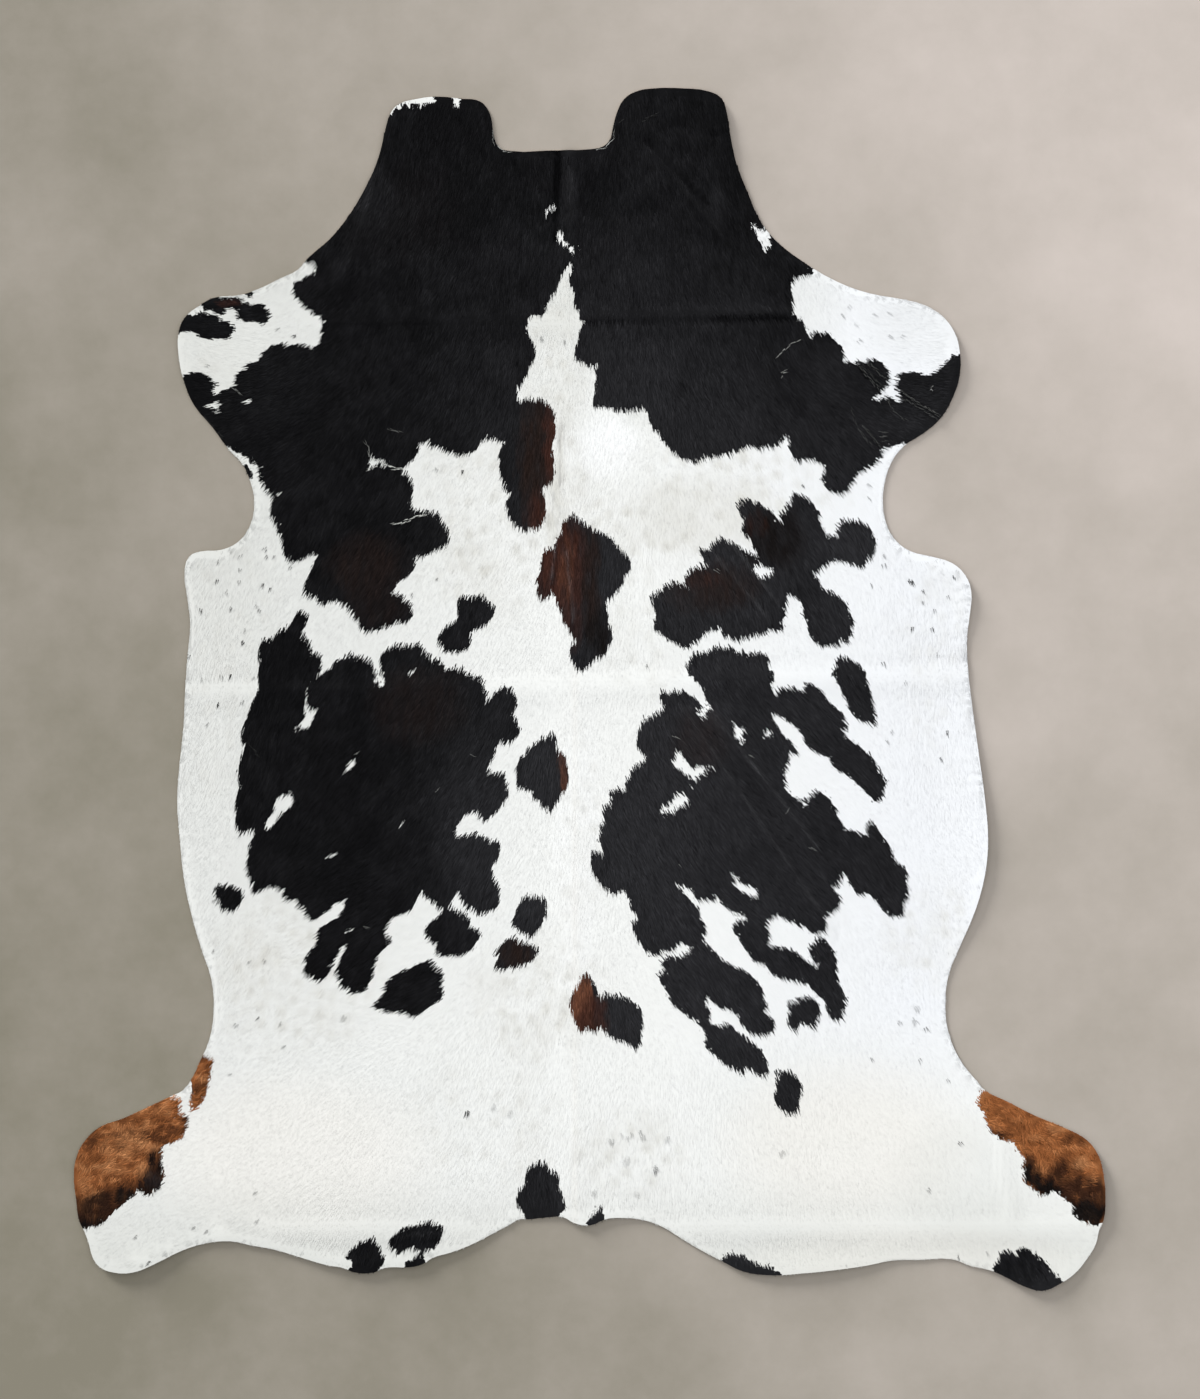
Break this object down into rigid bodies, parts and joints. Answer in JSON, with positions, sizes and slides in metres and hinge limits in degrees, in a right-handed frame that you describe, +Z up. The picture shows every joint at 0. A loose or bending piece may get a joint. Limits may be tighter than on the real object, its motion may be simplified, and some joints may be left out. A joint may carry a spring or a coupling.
{
  "type": "cowhide rug",
  "caption": "Whole hair-on cowhide laid flat as a rug, with neck tabs, legs, rump and flanks trimmed to a smooth edge and low folds from packing.",
  "frame": {"origin": "on the floor under the middle of the hide's bounding box", "axes": "+Z up out of the coat, +Y from the tail to the neck, +X to the right of the hide seen from above"},
  "size_m": [1.8, 2.1, 0.0114],
  "materials": {
    "hide": "hair-on cow skin, white coat with black and red-brown patches, suede underside"
  },
  "bodies": {
    "root": {"hide": "hide"}
  },
  "joints": []
}
